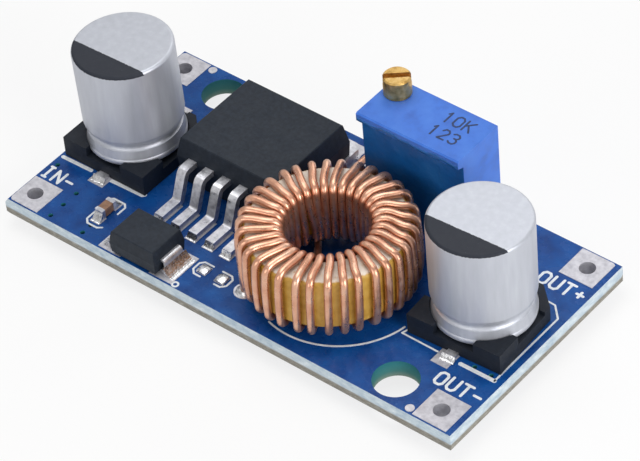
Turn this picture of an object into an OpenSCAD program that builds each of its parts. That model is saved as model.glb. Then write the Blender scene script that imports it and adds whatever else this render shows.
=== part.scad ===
// Buck converter module: a small blue circuit board with two wound-foil capacitors,
// a five-lead regulator, a rectifier, a hand-wound ring inductor and a screw-adjusted trimmer.
// Origin: centre of the board's underside. +X runs from the input end to the output end,
// +Y towards the edge with the two plus terminals, +Z up through the parts.

/* [Board] */
// Length of the circuit board
board_l = 43; // [43:0.5:46]
// Width of the circuit board
board_w = 21; // [21:0.5:23]
// Thickness of the bare laminate
board_t = 1.5; // [1.2:0.1:1.6]
// Radius of the rounded corner at the plus output; two others have half of it
board_corner_r = 1; // [0.4:0.1:1.2]
// How far the snapped web between the two score cuts stands out past the faces
score_web = 0.3; // [0.1:0.05:0.4]
// Diameter of the two mounting holes
mount_hole_d = 3.6; // [3:0.1:3.6]
// Distance between the mounting holes along the board
mount_span_x = 30.4; // [30:0.1:30.8]
// Distance between the mounting holes across the board
mount_span_y = 16.6; // [16.2:0.1:16.6]

/* [Terminals] */
// Diameter of the four wire holes
wire_hole_d = 1.3; // [1:0.1:1.5]
// Side of the square terminal pads
terminal_pad = 3.05; // [2.6:0.05:3.1]
// Distance between the wire holes along the board
wire_span_x = 39.6; // [39:0.1:39.6]
// Distance between the wire holes across the board
wire_span_y = 17.7; // [17.4:0.1:17.8]

/* [Capacitors] */
// Diameter of the aluminium can
can_d = 8; // [7.6:0.1:8]
// Height of the capacitor above the board
capacitor_h = 10.35; // [8.35:0.25:12.35]
// Side of the square plastic base
base_side = 8.2; // [8.2:0.1:8.4]

/* [Regulator] */
// Width of the moulded body
regulator_w = 10; // [9.6:0.1:10.2]
// Height of the moulded body above the board
regulator_h = 4.45; // [4.2:0.05:4.7]
// Distance between neighbouring leads
lead_pitch = 1.7; // [1.65:0.05:1.75]
// Width of one lead
lead_w = 0.8; // [0.6:0.05:0.9]

/* [Inductor] */
// Outside diameter of the ring core
core_od = 12.5; // [12.1:0.1:12.5]
// Inside diameter of the ring core
core_id = 7.7; // [7.5:0.1:7.9]
// Height of the ring core
core_h = 4.65; // [4:0.05:5]
// Diameter of the enamelled wire
wire_d = 0.62; // [0.5:0.02:0.62]
// Number of turns round the core
turns = 34; // [24:1:34]

/* [Trimmer] */
// Length of the trimmer housing
trimmer_l = 9.53; // [9.53:0.01:9.6]
// Depth of the trimmer housing
trimmer_w = 4.83; // [4.83:0.01:4.9]
// Height of the trimmer above the board
trimmer_h = 10.03; // [10:0.01:10.3]
// Diameter of the adjusting screw's head
screw_head_d = 2.19; // [2:0.01:2.3]
// Height of the adjusting screw's head above the housing
screw_head_h = 1.68; // [1.2:0.02:1.8]
// Turn of the adjusting screw from rest
screw_turn = 0; // [-4500:10:4500]

/* [Hidden] */

$fn = 48;
top = board_t;             // upper face of the laminate
foil = 0.05;               // thickness of the copper and its tin
deck = top + foil;         // upper face of the tinned pads
hair = 0.01;               // gap between round pieces that touch
layout_x = -0.3;           // middle of the copper layout along the board

// Terminals and mounting holes
wire_xy = [for (sx = [-1, 1], sy = [-1, 1]) [layout_x + sx * wire_span_x / 2, sy * wire_span_y / 2]];
mount_xy = [for (s = [-1, 1]) [layout_x + s * mount_span_x / 2, -s * mount_span_y / 2]];
target_xy = [for (s = [-1, 1]) [layout_x + s * 17.8, -s * 10]];
target_r = 0.36;
via_r = 0.2;
via_xy = [
    [-20.9, -5.4], [-17.5, -7], [-17.5, -8.5], [-17.5, -9.95], [-14.2, -9.95],
    [-14.2, -9], [18.8, -4.05], [20.3, -4.05]
];

// Capacitors
input_xy = [-17.02, -0.08];
input_turn = 0;            // how the part was set down, in degrees about its axis
input_lean = -2;           // tilt of the can in its base
output_xy = [16.53, 0.24];
output_turn = 3;
output_lean = 0;
can_r = can_d / 2;
seat_h = 1.05;             // underside of the can above the pads
post_h = 1.85;             // corner posts of the base above the pads
tab_w = 0.9;               // width of a capacitor's flat lead
tab_t = 0.25;              // thickness of a capacitor's flat lead
tab_reach = 4.7;           // end of the flat lead from the can's axis
capacitor_pad = [1.5, 3];

// Regulator
regulator_x = -6.85;
regulator_y = [-1.25, 7.5];
regulator_waist = 2.6;     // height of the parting line above the board
regulator_draft = 0.33;    // how far the upper faces lean in
tab_x = 10.16;             // width of the metal tab
tab_back = 8.8;            // rear edge of the metal tab
tab_h = 1.27;              // thickness of the metal tab
lead_t = 0.5;              // thickness of a regulator lead
foot_end = -5.55;          // tip of the lead's foot
foot_start = -3.5;         // heel of the lead's foot
lead_z = regulator_waist;  // middle of the lead where it leaves the body
lead_bend_r = 0.45;

// Rectifier
diode_xy = [-8.6, -8.7];
diode_body_size = [4.5, 3.5, 2.25];
diode_draft = 0.17;
diode_reach = 2.7;         // outer face of a terminal from the middle
diode_terminal_w = 2;
diode_terminal_t = 0.2;
diode_exit = 1.15;         // middle of the terminal where it leaves the body

// Inductor
coil_xy = [4.92, -3.24];
coil_lift = 0.84;         // gap under the winding for the crossing lead
wire_r = wire_d / 2;
wind_gap = 0.03;           // slack between wire and core
core_round = 0.35;
core_z = top + coil_lift + wire_d + wind_gap;
wind_in = core_id / 2 - wind_gap - wire_r;
wind_out = core_od / 2 + wind_gap + wire_r;
wind_low = core_z - wind_gap - wire_r;
wind_high = core_z + core_h + wind_gap + wire_r;
wind_bend = core_round + wind_gap + wire_r;
first_turn = -137.5;       // compass angle of the first turn
crowd = 6;                 // how far the turns lean towards each other round crowd_at, in degrees
crowd_at = 40;
turn_step = 360 / turns;
wire_sides = 6;
bend_steps = 3;
lead_out_xy = [-1, 8.95];  // hole of the finishing lead
lead_level = top + 0.04 + wire_r;
lead_bend = 0.5;
lead_end = deck + 0.22 + lead_bend;
lead_sweep = 0.9;
tail_z = -0.95;            // cut ends of the wires and pins under the board
eyelet_r = 0.5;            // bore of the inductor's plated holes
eyelet_pad_r = 0.85;

// Trimmer, in a frame of its own with the housing's low corner at the origin
trimmer_xy = [1.95, 4.2];
wall = 0.5;
brow = 0.62;               // overhang of the housing's top along its front
brow_h = 0.75;             // height of that overhang
foot_h = 0.38;             // stand-off feet under the housing
floor_t = 0.55;
roof_t = 0.73;
screw_in = [1.17, trimmer_w - 1.25];
worm_root = 0.36;
worm_tip = 0.6;
journal_r = worm_root - 0.03;
worm_low = 3.4;
worm_pitch_r = 0.5;
wheel_teeth = 30;
wheel_r = 3;               // pitch radius of the worm wheel
tooth_step = 2 * PI * wheel_r / wheel_teeth;
worm_turns = 6;
worm_high = worm_low + worm_turns * tooth_step;
wheel_tip = wheel_r + 0.08;
wheel_root = wheel_r - 0.17;
wheel_at = [screw_in[0] + wheel_r + worm_pitch_r, 5.2];
wheel_y = [2.95, 4.15];
boss_r = 0.5;
running = 0.04;            // radial play of the turning pieces
neck_r = 0.72;
groove_r = 0.5;
seal_r = 0.12;
seal_z = trimmer_h - roof_t / 2;
journal_low = foot_h + 0.5;
element_y = [1.25, 1.85];
potting_y = [brow + 0.05, element_y[0]];
pin_r = 0.25;
pin_y = element_y[1] + hair + pin_r;
pin_top = 2;
pin_pitch = 2.54;
pin_hole_r = 0.45;
pin_pad_r = 0.85;
pin_x = [for (i = [-1:1]) trimmer_l / 2 + i * pin_pitch];
wheel_turn = -screw_turn / wheel_teeth;

// Chip parts
chip_size = [0.8, 1.6, 0.8];
chip_end = 0.35;
chip_capacitor_xy = [-14.15, -7.25];
feedback_resistor_xy = [13.4, 7.6];
resistor_h = 0.45;
spare_pads_xy = [[-3.85, -7.75], [-2.1, -7.75]];

// ---------- shapes ----------

function arc_points(c, r, from, to, steps) =
    [for (i = [0:steps]) let (a = from + (to - from) * i / steps) c + r * [cos(a), sin(a)]];

function unit(v) = v / norm(v);

module slab(size, z, h, r = 0) {
    translate([0, 0, z])
        linear_extrude(h)
            offset(r = r)
                square([size[0] - 2 * r, size[1] - 2 * r], center = true);
}

module plate(low, high) {
    translate(low)
        cube(high - low);
}

// A moulded block that leans in above its waist and a little below it
module drafted(size, waist, high, lean, low = 0.1) {
    hull() {
        translate([0, 0, waist])
            linear_extrude(0.02)
                square([size[0], size[1]], center = true);
        translate([0, 0, high - 0.08])
            linear_extrude(0.02)
                square([size[0] - 2 * lean + 0.04, size[1] - 2 * lean + 0.04], center = true);
        translate([0, 0, high - 0.02])
            linear_extrude(0.02)
                square([size[0] - 2 * lean - 0.1, size[1] - 2 * lean - 0.1], center = true);
        translate([0, 0, low])
            linear_extrude(0.02)
                square([size[0] - lean, size[1] - lean], center = true);
    }
}

// Turns the corner at point i of a path into a run of points round a bend of radius r
function corner_points(path, i, r) =
    let (
        a = unit(path[i - 1] - path[i]),
        b = unit(path[i + 1] - path[i]),
        half = acos(a * b) / 2,
        sweep = 180 - 2 * half,
        c = path[i] + unit(a + b) * r / sin(half),
        u = path[i] + a * r / tan(half) - c,
        v = path[i] + b * r / tan(half) - c
    )
    [for (k = [0:5]) c + (sin(sweep * (1 - k / 5)) * u + sin(sweep * k / 5) * v) / sin(sweep)];

function rounded_path(path, r) = concat(
    [path[0]],
    [for (i = [1:len(path) - 2]) each corner_points(path, i, r)],
    [path[len(path) - 1]]
);

// A strip bent in the Y-Z plane: a run of points thickened and carried along X
module bent_strip(path, width, thick, bend) {
    line = rounded_path(path, bend);
    n = len(line);
    side = [for (i = [0:n - 1])
        let (d = unit(line[min(i + 1, n - 1)] - line[max(i - 1, 0)]))
            [-d[1], d[0]] * thick / 2];
    translate([-width / 2, 0, 0])
        rotate([90, 0, 90])
            linear_extrude(width)
                polygon(concat(
                    [for (i = [0:n - 1]) line[i] + side[i]],
                    [for (i = [n - 1:-1:0]) line[i] - side[i]]
                ));
}

// Outline of the faces, or of the web between the score cuts when grown
module board_outline(grow = 0) {
    x = board_l / 2 + grow;
    y = board_w / 2 + grow;
    r = board_corner_r;
    s = r / 2;
    polygon(concat(
        arc_points([-x + s, -y + s], s, 270, 180, 6),
        arc_points([-x + s, y - s], s, 180, 90, 6),
        arc_points([x - r, y - r], r, 90, 0, 8),
        [[x, -y]]
    ));
}

// ---------- board ----------

// Edge of a board snapped out of a scored panel, for a board of the given width
module scored_section(width, run) {
    half = width / 2;
    translate([0, run / 2, 0])
        rotate([90, 0, 0])
            linear_extrude(run)
                polygon([
                    [-half, 0], [half, 0], [half + score_web, 0.35 * board_t], [half + score_web, 0.65 * board_t],
                    [half, board_t], [-half, board_t], [-half - score_web, 0.65 * board_t],
                    [-half - score_web, 0.35 * board_t]
                ]);
}

module circuit_board() {
    color("#174a86")
        difference() {
            intersection() {
                linear_extrude(board_t)
                    board_outline(score_web);
                scored_section(board_l, board_w + 4);
                rotate([0, 0, 90])
                    scored_section(board_w, board_l + 4);
            }
            for (p = mount_xy)
                hole(p, mount_hole_d / 2);
            for (p = wire_xy)
                hole(p, wire_hole_d / 2 + foil + hair);
            for (p = inductor_holes())
                hole(p, eyelet_r + foil + hair);
            for (x = pin_x)
                hole(trimmer_xy + [x, pin_y], pin_hole_r + foil + hair);
            for (p = via_xy)
                hole(p, via_r);
        }
}

module hole(p, r) {
    translate([p[0], p[1], -1])
        cylinder(r = r, h = board_t + 2);
}

// A plated hole: a flange on each face of the board joined by a thin tube
module eyelet(p, bore, flange) {
    translate([p[0], p[1], 0])
        difference() {
            union() {
                translate([0, 0, top])
                    cylinder(r = flange, h = foil);
                translate([0, 0, -foil])
                    cylinder(r = flange, h = foil);
                translate([0, 0, -foil])
                    cylinder(r = bore + foil, h = board_t + 2 * foil);
            }
            translate([0, 0, -1])
                cylinder(r = bore, h = board_t + 2);
        }
}

module terminal_pads() {
    color("#b9b8be")
        for (p = wire_xy)
            difference() {
                intersection() {
                    translate([p[0], p[1], -foil])
                        union() {
                            translate([0, 0, board_t + foil])
                                linear_extrude(foil)
                                    square(terminal_pad, center = true);
                            linear_extrude(foil)
                                square(terminal_pad, center = true);
                            cylinder(r = wire_hole_d / 2 + foil, h = board_t + 2 * foil);
                        }
                    translate([0, 0, -foil])
                        linear_extrude(board_t + 2 * foil)
                            offset(delta = -0.08)
                                board_outline();
                }
                hole(p, wire_hole_d / 2);
            }
}

function inductor_holes() =
    let (a = first_turn + wander(0)) [coil_xy + wind_out * [cos(a), sin(a)], lead_out_xy];

module inductor_eyelets() {
    color("#c3c3c8")
        for (p = inductor_holes())
            eyelet(p, eyelet_r, eyelet_pad_r);
}

module trimmer_eyelets() {
    color("#c3c3c8")
        for (x = pin_x)
            eyelet(trimmer_xy + [x, pin_y], pin_hole_r, pin_pad_r);
}

module component_pads() {
    color("#c3c3c8") {
        for (c = [input_xy, output_xy], s = [-1, 1])
            translate([c[0], s * (5.4 - capacitor_pad[1] / 2)])
                slab(capacitor_pad, top, foil);
        for (i = [-2:2])
            translate([regulator_x + i * lead_pitch, (foot_start + foot_end) / 2 - 0.15])
                slab([1.05, 2.6], top, foil);
        difference() {
            translate([regulator_x, 5.35])
                slab([10.7, 8.9], top, foil);
            hole(lead_out_xy, eyelet_pad_r + 0.2);
        }
        for (s = [-1, 1])
            translate([diode_xy[0] + s * 2.55, diode_xy[1]])
                slab([2.2, 3.3], top, foil);
        for (c = [chip_capacitor_xy, feedback_resistor_xy], s = [-1, 1])
            translate([c[0], c[1] + s * 0.95])
                slab([0.95, 0.9], top, foil);
        for (p = spare_pads_xy)
            translate(p)
                slab([0.9, 0.95], top, foil);
        for (p = target_xy)
            translate([p[0], p[1], top])
                cylinder(r = target_r, h = foil);
    }
}

// ---------- capacitors ----------

module at_capacitor(c, turn) {
    translate([c[0], c[1], deck])
        rotate([0, 0, turn])
            children();
}

// Square base with a raised post at each corner and slots for the leads underneath
module capacitor_base(c, turn) {
    half = base_side / 2;
    chamfer = 1.65;
    gap = 3.5;
    low_post = seat_h + 0.35;
    color("#1b1d22")
        at_capacitor(c, turn)
            difference() {
                linear_extrude(post_h)
                    polygon([
                        [-half, -half], [half, -half], [half, half - chamfer],
                        [half - chamfer, half], [-half + chamfer, half], [-half, half - chamfer]
                    ]);
                translate([0, 0, seat_h])
                    cylinder(r = can_r + 0.02, h = post_h);
                for (a = [0, 90])
                    rotate([0, 0, a])
                        translate([-gap / 2, -half - 1, seat_h])
                            cube([gap, base_side + 2, post_h]);
                translate([-half - 1, 0, low_post])
                    cube([base_side + 2, half + 1, post_h]);
                for (s = [-1, 1])
                    translate([0, s * half, 0])
                        cube([tab_w, 2 * half - 2.4, 2 * tab_t], center = true);
            }
}

// Drawn can with a rounded rim, a crimped groove and a rolled lower edge
module capacitor_can(c, turn, lean) {
    low = seat_h + can_r * sin(abs(lean));
    high = capacitor_h - foil;
    edge = 0.28;
    bead = 0.43;
    neck = 0.42;
    color("#b4b8c0")
        at_capacitor(c, turn)
            rotate([0, lean, 0])
                rotate_extrude($fn = 96)
                    polygon(concat(
                        [[0, low], [can_r - 0.75, low]],
                        arc_points([can_r - bead - 0.02, low + bead + 0.02], bead, -70, 35, 8),
                        arc_points([can_r, low + 1.78], neck, 235, 125, 10),
                        [[can_r - 0.05, low + 2.3], [can_r, low + 2.55]],
                        arc_points([can_r - edge, high - edge], edge, 0, 80, 8),
                        [[can_r - 0.5, high], [0, high]]
                    ));
}

module capacitor_leads(c, turn) {
    color("#c9c9cc")
        at_capacitor(c, turn)
            for (s = [-1, 1])
                translate([0, s * (tab_reach + 1.2) / 2, 0])
                    slab([tab_w, tab_reach - 1.2], 0, tab_t);
}

module input_capacitor_base() capacitor_base(input_xy, input_turn);
module input_capacitor_can() capacitor_can(input_xy, input_turn, input_lean);
module input_capacitor_leads() capacitor_leads(input_xy, input_turn);
module output_capacitor_base() capacitor_base(output_xy, output_turn);
module output_capacitor_can() capacitor_can(output_xy, output_turn, output_lean);
module output_capacitor_leads() capacitor_leads(output_xy, output_turn);

// ---------- regulator ----------

module regulator_body() {
    long = regulator_y[1] - regulator_y[0];
    color("#2a2d35")
        difference() {
            translate([regulator_x, (regulator_y[0] + regulator_y[1]) / 2, deck])
                drafted([regulator_w, long], regulator_waist, regulator_h - foil, regulator_draft);
            regulator_tab_solid();
            regulator_lead_roots();
        }
}

// The flat heat-spreading tab with its two cut rear corners
module regulator_tab_solid() {
    half = tab_x / 2;
    front = 1.4;
    translate([regulator_x, 0, deck])
        linear_extrude(tab_h)
            polygon([
                [-half, front], [half, front], [half, tab_back - 0.5], [half - 0.5, tab_back],
                [-half + 0.5, tab_back], [-half, tab_back - 0.5]
            ]);
}

module regulator_tab() {
    color("#c9c9d0")
        regulator_tab_solid();
}

module regulator_lead_roots() {
    for (i = [-2:2])
        translate([regulator_x + i * lead_pitch, 0, deck + lead_z])
            plate([-lead_w / 2, regulator_y[0] - 1, -lead_t / 2],
                  [lead_w / 2, regulator_y[0] + 1, lead_t / 2]);
}

module regulator_leads() {
    half = lead_t / 2;
    color("#cfcfd4")
        for (i = [-2:2])
            translate([regulator_x + i * lead_pitch, 0, deck])
                bent_strip([
                    [regulator_y[0] + 1, lead_z], [regulator_y[0] - 1.1, lead_z],
                    [foot_start + 0.2, half], [foot_end, half]
                ], lead_w, lead_t, lead_bend_r);
}

// ---------- rectifier ----------

module at_diode() {
    translate([diode_xy[0], diode_xy[1], deck])
        children();
}

module diode_body() {
    size = diode_body_size;
    color("#2b2f36")
        at_diode()
            difference() {
                drafted([size[0], size[1]], diode_exit, size[2], diode_draft, diode_terminal_t);
                for (s = [-1, 1])
                    translate([s * size[0] / 2, 0, diode_exit])
                        cube([1.2, diode_terminal_w, diode_terminal_t], center = true);
            }
}

// Each terminal leaves the body at its waist, folds down its end and lies on the pad
module diode_terminals() {
    half = diode_terminal_t / 2;
    out = diode_reach - half;
    color("#bfc0c4")
        at_diode()
            for (a = [90, 270])
                rotate([0, 0, a])
                    bent_strip([
                        [-diode_body_size[0] / 2 + 0.6, diode_exit], [-out, diode_exit],
                        [-out, half], [-1.35, half]
                    ], diode_terminal_w, diode_terminal_t, 0.2);
}

// ---------- inductor ----------

module inductor_core() {
    r = core_round;
    inner = core_id / 2;
    outer = core_od / 2;
    color("#c9a24a")
        translate([coil_xy[0], coil_xy[1], core_z])
            rotate_extrude($fn = 96)
                polygon(concat(
                    arc_points([inner + r, r], r, 180, 270, 6),
                    arc_points([outer - r, r], r, 270, 360, 6),
                    arc_points([outer - r, core_h - r], r, 0, 90, 6),
                    arc_points([inner + r, core_h - r], r, 90, 180, 6)
                ));
}

// How far the hand-wound turn i strays round the outside of the ring, with the crowding on one side
function wander(i) = 0.8 * sin(137.5 * i) + 0.3 * sin(61 * i + 20)
    - crowd * exp(-pow((first_turn + i * turn_step - crowd_at) / 30, 2));

function ring_point(r, z, a) =
    [coil_xy[0] + r * cos(a), coil_xy[1] + r * sin(a), z];

function ring_tangent(a) = [-sin(a), cos(a), 0];

// One bend of a turn in the core's cross-section, as wire centres with their guide directions
function turn_bend(r, z, from, to, a0, a1) =
    [for (k = [0:bend_steps])
        let (u = k / bend_steps, e = from + (to - from) * u, a = a0 + (a1 - a0) * u)
            [ring_point(r + wind_bend * cos(e), z + wind_bend * sin(e), a), ring_tangent(a)]];

function outer_low(i) =
    let (a = first_turn + i * turn_step + wander(i))
        turn_bend(wind_out - wind_bend, wind_low + wind_bend, -90, 0, a - 0.6, a);

function outer_high(i) =
    let (a = first_turn + (i + 0.15) * turn_step + wander(i))
        turn_bend(wind_out - wind_bend, wind_high - wind_bend, 0, 90, a, a + 0.6);

function inner_high(i) =
    let (a = first_turn + (i + 0.5) * turn_step)
        turn_bend(wind_in + wind_bend, wind_high - wind_bend, 90, 180, a - 0.3, a);

function inner_low(i) =
    let (a = first_turn + (i + 0.6) * turn_step)
        turn_bend(wind_in + wind_bend, wind_low + wind_bend, 180, 270, a, a + 0.3);

// The finishing lead drops inside the ring, turns back under the winding and runs to its own hole
function last_lead() =
    let (
        a = first_turn + (turns - 0.4) * turn_step,
        r = lead_bend,
        start = coil_xy + wind_in * [cos(a), sin(a)],
        inward = -[cos(a), sin(a)],
        line = rounded_path([
            start + inward * r, start + inward * 2.2,
            [lead_out_xy[0], 2.6], lead_out_xy - [0, r]
        ], lead_sweep),
        n = len(line)
    )
    concat(
        [[[start[0], start[1], wind_low + wind_bend], ring_tangent(a)]],
        [for (k = [0:bend_steps - 1]) let (e = 90 * k / bend_steps, p = start + inward * r * (1 - cos(e)))
            [[p[0], p[1], lead_level + r * (1 - sin(e))], ring_tangent(a)]],
        [for (i = [0:n - 1]) let (d = unit(line[min(i + 1, n - 1)] - line[max(i - 1, 0)]))
            [[line[i][0], line[i][1], i == n - 1 ? lead_end : lead_level], [d[1], -d[0], 0]]],
        [for (k = [1:bend_steps]) let (e = 90 * k / bend_steps)
            [[lead_out_xy[0], lead_out_xy[1] - r * (1 - sin(e)), lead_end - r * (1 - cos(e))], [1, 0, 0]]],
        [[[lead_out_xy[0], lead_out_xy[1], tail_z], [1, 0, 0]]]
    );

function winding_path() =
    let (hole = inductor_holes()[0], guide = ring_tangent(first_turn + wander(0)))
    concat(
        [[[hole[0], hole[1], tail_z], guide], [[hole[0], hole[1], wind_low + wind_bend], guide]],
        [for (i = [0:turns - 1]) each concat(
            i == 0 ? [] : outer_low(i),
            outer_high(i),
            inner_high(i),
            i == turns - 1 ? [] : inner_low(i)
        )],
        last_lead()
    );

// Round section carried along a run of centres
module swept_wire(path, r, sides) {
    n = len(path);
    rings = [for (i = [0:n - 1])
        let (
            t = unit(path[min(i + 1, n - 1)][0] - path[max(i - 1, 0)][0]),
            b = unit(cross(t, path[i][1])),
            c = cross(b, t)
        )
        for (k = [0:sides - 1]) let (a = 360 * (k + 0.5) / sides)
            path[i][0] + r * (cos(a) * b + sin(a) * c)];
    sidesfaces = [for (i = [0:n - 2], k = [0:sides - 1])
        let (m = (k + 1) % sides)
            [i * sides + k, i * sides + m, (i + 1) * sides + m, (i + 1) * sides + k]];
    polyhedron(rings, concat(
        [[for (k = [sides - 1:-1:0]) k]],
        [for (f = sidesfaces) each [[f[0], f[1], f[2]], [f[0], f[2], f[3]]]],
        [[for (k = [0:sides - 1]) (n - 1) * sides + k]]
    ));
}

module inductor_winding() {
    color("#c08a6c")
        swept_wire(winding_path(), wire_r, wire_sides);
}

// ---------- trimmer ----------

module at_trimmer() {
    translate([trimmer_xy[0], trimmer_xy[1], top])
        children();
}

module at_screw() {
    at_trimmer()
        translate([screw_in[0], screw_in[1], 0])
            children();
}

// The wheel turns about a level axis that runs from the front to the back of the housing
module at_wheel() {
    at_trimmer()
        translate([wheel_at[0], 0, wheel_at[1]])
            rotate([-90, 0, 0])
                children();
}

module trimmer_housing() {
    inner_top = trimmer_h - roof_t;
    color("#3f74cf")
        at_trimmer()
            difference() {
                union() {
                    plate([0, brow, foot_h], [trimmer_l, trimmer_w, trimmer_h]);
                    rotate([90, 0, 90])
                        linear_extrude(trimmer_l)
                            polygon([
                                [0, trimmer_h - brow_h], [brow + 0.1, trimmer_h - brow_h - 0.25],
                                [brow + 0.1, trimmer_h], [0.12, trimmer_h], [0, trimmer_h - 0.12]
                            ]);
                    for (x = [0.3, trimmer_l - 1.3])
                        plate([x, brow + 0.3, 0], [x + 1, trimmer_w - 0.3, foot_h + 0.1]);
                }
                difference() {
                    plate([wall, brow - 0.01, foot_h + floor_t], [trimmer_l - wall, trimmer_w - wall, inner_top]);
                    translate([wheel_at[0], wheel_y[0] - 0.3, wheel_at[1]])
                        rotate([-90, 0, 0])
                            cylinder(r = boss_r, h = 3);
                    plate([0, screw_in[1] - 0.8, foot_h], [screw_in[0] + 0.8, trimmer_w, journal_low + 0.9]);
                }
                translate([screw_in[0], screw_in[1], journal_low])
                    cylinder(r = journal_r + running, h = 2);
                translate([screw_in[0], screw_in[1], inner_top - 0.5])
                    cylinder(r = neck_r + running, h = 2);
                for (x = pin_x)
                    translate([x, pin_y, -0.5])
                        cylinder(r = pin_r + 0.02, h = 2);
            }
}

// Radius of the worm at a given height and angle: one round thread that climbs a pitch a turn
function worm_radius(z, a) =
    let (
        phase = (z - worm_low) / tooth_step - a / 360,
        off = abs(phase - round(phase)) * tooth_step,
        blend = min(1, max(0, (0.15 - off) / 0.09))
    )
    worm_root + (worm_tip - worm_root) * blend;

module worm_thread() {
    round_steps = 24;
    rise_steps = 8 * worm_turns;
    angles = [for (k = [0:round_steps - 1]) 360 * k / round_steps];
    last = (rise_steps + 1) * round_steps;
    points = [
        for (j = [0:rise_steps], a = angles)
            let (
                z = worm_low + (worm_high - worm_low) * j / rise_steps,
                r = j == 0 || j == rise_steps ? worm_root : worm_radius(z, a)
            )
            [r * cos(a), r * sin(a), z]
    ];
    polyhedron(points, concat(
        [[for (k = [0:round_steps - 1]) k]],
        [for (j = [0:rise_steps - 1], k = [0:round_steps - 1])
            let (m = (k + 1) % round_steps, p = j * round_steps, q = p + round_steps)
                each [[p + k, q + k, q + m], [p + k, q + m, p + m]]],
        [[for (k = [round_steps - 1:-1:0]) last - round_steps + k]]
    ));
}

module trimmer_screw() {
    head_low = trimmer_h + 0.05;
    head_high = trimmer_h + screw_head_h;
    head_r = screw_head_d / 2;
    slot_w = 0.5;
    slot_deep = 0.75;
    color("#c8a25c")
        at_screw()
            rotate([0, 0, screw_turn]) {
                worm_thread();
                translate([0, 0, journal_low + 0.05])
                    cylinder(r = journal_r, h = worm_low - journal_low);
                translate([0, 0, worm_high - 0.05])
                    cylinder(r = journal_r, h = seal_z - 0.6 - worm_high);
                translate([0, 0, seal_z - 0.66])
                    cylinder(r = neck_r, h = 0.66 - seal_r - 0.02);
                translate([0, 0, seal_z - 0.66])
                    cylinder(r = groove_r, h = 1.2);
                translate([0, 0, seal_z + seal_r + 0.02])
                    cylinder(r = neck_r, h = head_low - seal_z);
                difference() {
                    rotate_extrude($fn = 64)
                        polygon([
                            [0, head_low], [head_r, head_low], [head_r, head_high - 0.12],
                            [head_r - 0.12, head_high], [0, head_high]
                        ]);
                    rotate([0, 0, 40])
                        translate([-2, -slot_w / 2, head_high - slot_deep])
                            cube([4, slot_w, 2]);
                }
            }
}

module trimmer_seal() {
    color("#222222")
        at_screw()
            translate([0, 0, seal_z])
                rotate_extrude($fn = 64)
                    translate([groove_r + hair + seal_r, 0])
                        circle(r = seal_r, $fn = 24);
}

module wheel_outline() {
    half_root = 0.34 * 360 / wheel_teeth;
    half_tip = 0.1 * 360 / wheel_teeth;
    polygon([
        for (i = [0:wheel_teeth - 1])
            let (a = i * 360 / wheel_teeth)
                each [
                    wheel_root * [cos(a - half_root), sin(a - half_root)],
                    wheel_tip * [cos(a - half_tip), sin(a - half_tip)],
                    wheel_tip * [cos(a + half_tip), sin(a + half_tip)],
                    wheel_root * [cos(a + half_root), sin(a + half_root)]
                ]
    ]);
}

module trimmer_wheel() {
    color("#e8e4d8")
        at_wheel()
            rotate([0, 0, wheel_phase() + wheel_turn])
                translate([0, 0, wheel_y[0]])
                    difference() {
                        linear_extrude(wheel_y[1] - wheel_y[0])
                            wheel_outline();
                        translate([0, 0, -1])
                            cylinder(r = boss_r + running, h = 4);
                    }
}

// Half a tooth off the thread where worm and wheel face each other
function wheel_phase() = (0.5 - (wheel_at[1] - worm_low) / tooth_step) * 360 / wheel_teeth;

module trimmer_wiper() {
    plate_t = 0.15;
    track_r = 2.2;
    color("#b98a4a")
        at_wheel()
            rotate([0, 0, wheel_phase() + wheel_turn])
                translate([0, 0, wheel_y[0] - plate_t]) {
                    difference() {
                        union() {
                            cylinder(r = 1.6, h = plate_t);
                            translate([0, -0.35, 0])
                                cube([track_r + 0.2, 0.7, plate_t]);
                        }
                        translate([0, 0, -1])
                            cylinder(r = boss_r + running + 0.1, h = 3);
                    }
                    translate([track_r, 0, -(wheel_y[0] - plate_t - element_y[1] - 0.02)])
                        cylinder(r = 0.2, h = wheel_y[0] - plate_t - element_y[1] - 0.02);
                }
}

module trimmer_element() {
    color("#ece8df")
        at_trimmer()
            plate([wall + 0.1, element_y[0], foot_h + floor_t + 0.1],
                  [trimmer_l - wall - 0.1, element_y[1], trimmer_h - roof_t - 0.1]);
}

module trimmer_potting() {
    color("#12406f")
        at_trimmer()
            plate([wall, potting_y[0], foot_h + floor_t], [trimmer_l - wall, potting_y[1], trimmer_h - roof_t]);
}

module trimmer_pins() {
    color("#c9c9cc")
        at_trimmer()
            for (x = pin_x)
                translate([x, pin_y, tail_z - top])
                    cylinder(r = pin_r, h = pin_top - tail_z + top);
}

// ---------- chip parts ----------

module chip_body(c, h) {
    translate([c[0], c[1], 0])
        slab([chip_size[0] - 0.06, chip_size[1] - 2 * chip_end], deck + 0.04, h - 0.08);
}

module chip_ends(c, h) {
    for (s = [-1, 1])
        translate([c[0], c[1] + s * (chip_size[1] - chip_end) / 2, 0])
            slab([chip_size[0], chip_end], deck, h, 0.06);
}

module chip_capacitor_body() {
    color("#9a7560")
        chip_body(chip_capacitor_xy, chip_size[2]);
}

module chip_capacitor_ends() {
    color("#c5c2c2")
        chip_ends(chip_capacitor_xy, chip_size[2]);
}

module feedback_resistor_body() {
    color("#1c1c20")
        chip_body(feedback_resistor_xy, resistor_h);
}

module feedback_resistor_ends() {
    color("#c5c2c2")
        chip_ends(feedback_resistor_xy, resistor_h);
}

// ---------- solder ----------

// A wedge of solder against the toe of a flat lead: w wide, h high at the lead, l long
module toe_fillet(w, l, h) {
    rotate([90, 0, 90])
        translate([0, 0, -w / 2])
            linear_extrude(w)
                polygon(concat([[0, 0], [0, h]],
                    [for (k = [1:6]) let (u = k / 6) [-l * u, h * (1 - u) * (1 - u)]]));
}

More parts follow.
